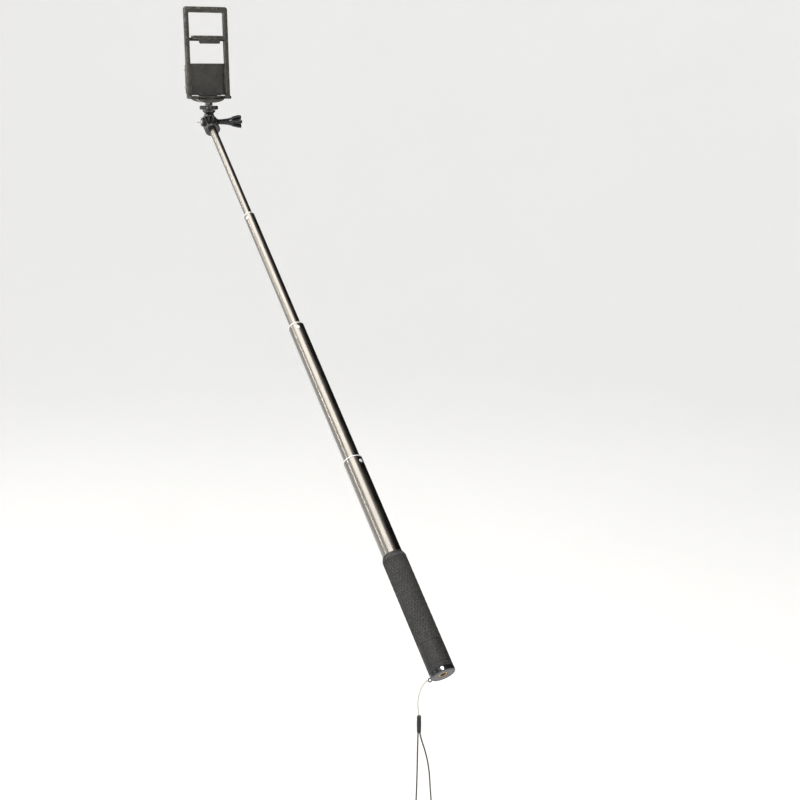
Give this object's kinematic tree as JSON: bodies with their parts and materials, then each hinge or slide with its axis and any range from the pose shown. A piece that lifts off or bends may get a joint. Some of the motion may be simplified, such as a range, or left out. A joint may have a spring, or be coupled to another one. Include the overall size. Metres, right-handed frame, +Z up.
{
  "type": "selfie stick",
  "caption": "Telescopic twist-lock pole with a rubber grip, wrist strap, tilting three-prong head with a thumb screw, and a spring-jaw phone holder on a tall open frame.",
  "frame": {"origin": "on the pole's axis, in the middle of the grip, where a hand holds it", "axes": "+Z up; the pole leans towards +Y, 52.4 degrees from the vertical; +X is the tilt axis of the head, towards the thumb screw's knob; the phone faces -Y"},
  "size_m": [0.0725, 0.6629, 0.8296],
  "materials": {
    "anodised_tube": "dark gunmetal anodised, satin to semi-gloss",
    "polished_aluminium": "bright turned and polished",
    "steel": "zinc plated",
    "brass": "machined",
    "nylon": "natural nylon",
    "grip_rubber": "matt, fine raised diamond pattern",
    "pad_rubber": "matt",
    "black_plastic": "satin moulded",
    "gloss_plastic": "glossy moulded",
    "pale_string": "thin braided string",
    "dark_cord": "thin braided cord"
  },
  "bodies": {
    "handle": {"grip_sleeve": "grip_rubber", "end_cap": "gloss_plastic", "end_cap_rivet": "polished_aluminium", "tripod_insert": "brass", "handle_tube": "anodised_tube", "rim_ring_1": "polished_aluminium", "guide_bush_1": "nylon", "bush_rivet_1": "polished_aluminium"},
    "expander_2": {"expander_2": "nylon"},
    "section_2": {"tube_2": "anodised_tube", "lock_screw_2": "black_plastic", "rim_ring_2": "polished_aluminium", "guide_bush_2": "nylon", "bush_rivet_2": "polished_aluminium"},
    "expander_3": {"expander_3": "nylon"},
    "section_3": {"tube_3": "anodised_tube", "lock_screw_3": "black_plastic", "rim_ring_3": "polished_aluminium", "guide_bush_3": "nylon", "bush_rivet_3": "polished_aluminium"},
    "expander_4": {"expander_4": "nylon"},
    "section_4": {"tube_4": "anodised_tube", "lock_screw_4": "black_plastic", "three_prong_mount": "black_plastic", "mount_pin": "steel", "captive_nut": "brass"},
    "thumb_screw": {"thumb_screw_knob": "gloss_plastic", "thumb_screw_bolt": "steel"},
    "tilt_head": {"two_prong_adapter": "black_plastic", "tripod_stud": "steel"},
    "lock_wheel": {"lock_wheel": "black_plastic"},
    "phone_holder": {"holder_base": "black_plastic", "base_insert": "steel", "lower_pad": "pad_rubber", "holder_loop": "black_plastic", "plate_screw_1": "steel", "plate_screw_2": "steel", "plate_screw_3": "steel", "plate_screw_4": "steel", "jaw_spring_left": "steel", "jaw_spring_right": "steel"},
    "jaw": {"upper_jaw": "black_plastic", "upper_pad": "pad_rubber"},
    "wrist_strap": {"strap_string": "pale_string", "strap_slider": "gloss_plastic", "wrist_loop": "dark_cord"}
  },
  "joints": [
    {"name": "section_2_slide", "type": "slide", "parent": "handle", "child": "expander_2", "axis": [0, 0.7923, 0.6101], "range_m": [-0.182, 0]},
    {"name": "section_2_twist", "type": "hinge", "parent": "expander_2", "child": "section_2", "pos_m": [0, 0, 0], "axis": [0, 0.7923, 0.6101], "range_deg": [0, 90]},
    {"name": "section_3_slide", "type": "slide", "parent": "section_2", "child": "expander_3", "axis": [0, 0.7923, 0.6101], "range_m": [-0.174, 0]},
    {"name": "section_3_twist", "type": "hinge", "parent": "expander_3", "child": "section_3", "pos_m": [0, 0, 0], "axis": [0, 0.7923, 0.6101], "range_deg": [0, 90]},
    {"name": "section_4_slide", "type": "slide", "parent": "section_3", "child": "expander_4", "axis": [0, 0.7923, 0.6101], "range_m": [-0.158, 0]},
    {"name": "section_4_twist", "type": "hinge", "parent": "expander_4", "child": "section_4", "pos_m": [0, 0, 0], "axis": [0, 0.7923, 0.6101], "range_deg": [0, 90]},
    {"name": "thumb_screw_turn", "type": "hinge", "parent": "section_4", "child": "thumb_screw", "pos_m": [0, 0.58946, 0.45395], "axis": [1, 0, 0], "range_deg": [0, 540]},
    {"name": "head_tilt", "type": "hinge", "parent": "section_4", "child": "tilt_head", "pos_m": [0, 0.58946, 0.45395], "axis": [1, 0, 0], "range_deg": [-142, 37]},
    {"name": "lock_wheel_turn", "type": "hinge", "parent": "tilt_head", "child": "lock_wheel", "pos_m": [0, 0.58946, 0.45395], "axis": [0, 0, 1], "range_deg": [-180, 180]},
    {"name": "holder_pan", "type": "hinge", "parent": "tilt_head", "child": "phone_holder", "pos_m": [0, 0.58946, 0.45395], "axis": [0, 0, 1], "continuous": true},
    {"name": "jaw_slide", "type": "slide", "parent": "phone_holder", "child": "jaw", "axis": [0, 0, 1], "range_m": [-0.012, 0.022], "stiffness_N_per_m": 150, "deforming": ["jaw_spring_left", "jaw_spring_right"]},
    {"name": "strap_swing", "type": "hinge", "parent": "handle", "child": "wrist_strap", "pos_m": [-0.01029, -0.04631, -0.0482], "axis": [1, 0, 0], "range_deg": [-50, 50]}
  ]
}
